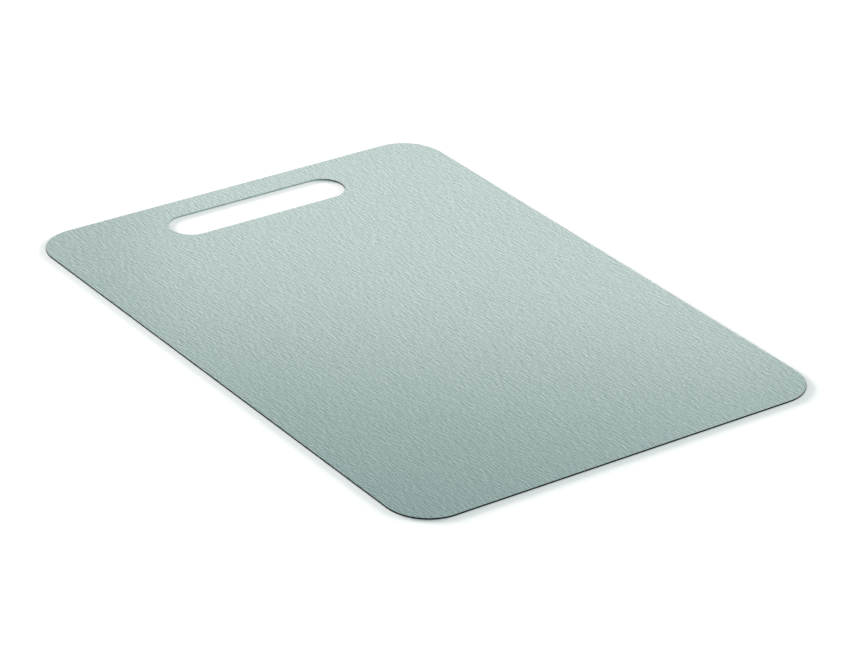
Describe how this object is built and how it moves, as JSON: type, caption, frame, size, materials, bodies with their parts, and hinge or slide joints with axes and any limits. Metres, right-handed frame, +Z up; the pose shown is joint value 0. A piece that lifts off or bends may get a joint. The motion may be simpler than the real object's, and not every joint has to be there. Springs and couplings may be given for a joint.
{
  "type": "metal cutting board",
  "caption": "Thin rectangular sheet-metal board for cutting and serving, with round corners and a long round-ended hand slot near one short edge.",
  "frame": {"origin": "under the middle of the board, on the surface that it lies on", "axes": "+Z up out of the cutting face, +Y along the length towards the hand slot, +X across the width"},
  "size_m": [0.25, 0.35, 0.0008],
  "materials": {
    "brushed_metal": "satin, fine short brush strokes along the length, cut edges bare and darker"
  },
  "bodies": {
    "root": {"board_sheet": "brushed_metal"}
  },
  "joints": []
}
